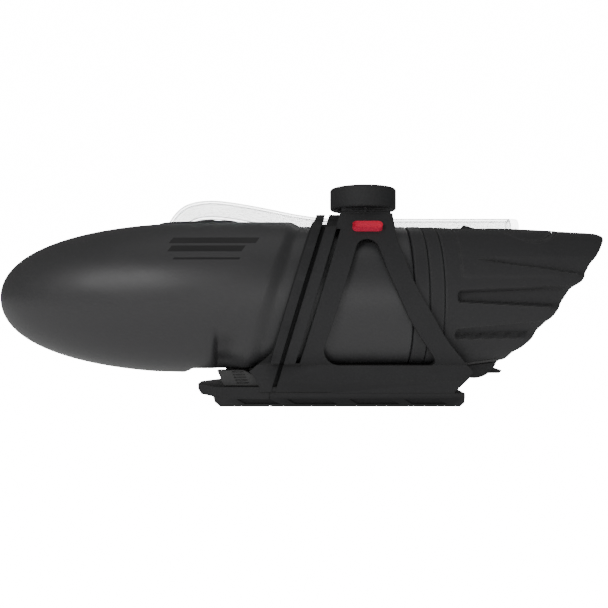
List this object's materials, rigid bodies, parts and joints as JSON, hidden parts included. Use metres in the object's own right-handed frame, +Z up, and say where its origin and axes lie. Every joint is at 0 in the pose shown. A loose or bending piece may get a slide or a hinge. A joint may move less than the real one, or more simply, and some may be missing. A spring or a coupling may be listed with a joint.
{
  "type": "handlebar hydration bottle",
  "caption": "Torpedo-shaped handlebar bottle with a clear straw and soft tail, held in a moulded cage on a keel base plate, with a round computer mount on top.",
  "frame": {"origin": "centre of the base plate's flat underside, which rests on the bars' bridge", "axes": "+X along the bottle from nose to tail, +Z up and away from the bars, +Y completes the right-handed frame"},
  "size_m": [0.3105, 0.0824, 0.1112],
  "materials": {
    "shell": "satin moulded polyethylene, dark grey",
    "cage": "fine-textured moulded glass-filled nylon, near black",
    "puck": "smooth moulded nylon, near black",
    "boot": "matt moulded elastomer, near black",
    "ring": "moulded polypropylene, near black",
    "pad": "ribbed elastomer, dark grey",
    "straw": "clear extruded polyurethane",
    "valve": "clear silicone",
    "steel": "stainless steel",
    "brass": "turned brass"
  },
  "bodies": {
    "mount": {"base_plate": "cage", "base_end_cap": "cage", "release_housing": "cage", "cage": "cage", "computer_mount_base": "cage", "computer_mount_puck": "puck", "latch_pin": "steel", "bar_insert_front_right": "brass", "bar_insert_front_left": "brass", "bar_insert_rear_right": "brass", "bar_insert_rear_left": "brass", "cage_screw_front": "steel", "cage_screw_middle": "steel", "cage_screw_rear": "steel", "mount_screw_left": "steel", "mount_screw_right": "steel"},
    "bottle": {"bottle_shell": "shell", "straw_grommet": "boot", "straw_tube": "straw", "dip_tube": "straw", "straw_flex": "valve", "collar_ring": "ring", "seal_ring": "boot", "clamp_ring": "boot", "tail_boot": "boot", "straw_clip": "boot", "refill_rim": "boot", "latch_pad": "pad"},
    "drinking_end": {"straw_tip": "straw", "bite_valve": "valve"},
    "left_leaf": {"refill_leaf_left": "boot"},
    "right_leaf": {"refill_leaf_right": "boot"},
    "left_pad": {"release_pad_left": "pad"},
    "right_pad": {"release_pad_right": "pad"},
    "latch": {"latch_lever": "cage"}
  },
  "joints": [
    {"name": "bottle_slide", "type": "slide", "parent": "mount", "child": "bottle", "axis": [-1, 0, 0], "range_m": [0, 0.19]},
    {"name": "latch_hinge", "type": "hinge", "parent": "mount", "child": "latch", "pos_m": [0.0635, 0, 0.0158], "axis": [0, 1, 0], "range_deg": [0, 35]},
    {"name": "straw_lift", "type": "hinge", "parent": "bottle", "child": "drinking_end", "pos_m": [0.045, 0, 0.0908], "axis": [0, -1, 0], "range_deg": [0, 50], "stiffness_Nm_per_rad": 0.004, "springref_deg": -11.46, "deforming": ["straw_flex"]},
    {"name": "left_leaf_hinge", "type": "hinge", "parent": "bottle", "child": "left_leaf", "pos_m": [0.0985, 0.0219, 0.0795], "axis": [1, 0, 0], "range_deg": [0, 60], "stiffness_Nm_per_rad": 0.003, "springref_deg": -17.19},
    {"name": "right_leaf_hinge", "type": "hinge", "parent": "bottle", "child": "right_leaf", "pos_m": [0.0985, -0.0219, 0.0795], "axis": [-1, 0, 0], "range_deg": [0, 60], "stiffness_Nm_per_rad": 0.003, "springref_deg": -17.19},
    {"name": "left_pad_press", "type": "slide", "parent": "mount", "child": "left_pad", "axis": [0, -1, 0], "range_m": [0, 0.0025], "stiffness_N_per_m": 400, "springref_m": -0.002},
    {"name": "right_pad_press", "type": "slide", "parent": "mount", "child": "right_pad", "axis": [0, 1, 0], "range_m": [0, 0.0025], "stiffness_N_per_m": 400, "springref_m": -0.002}
  ]
}
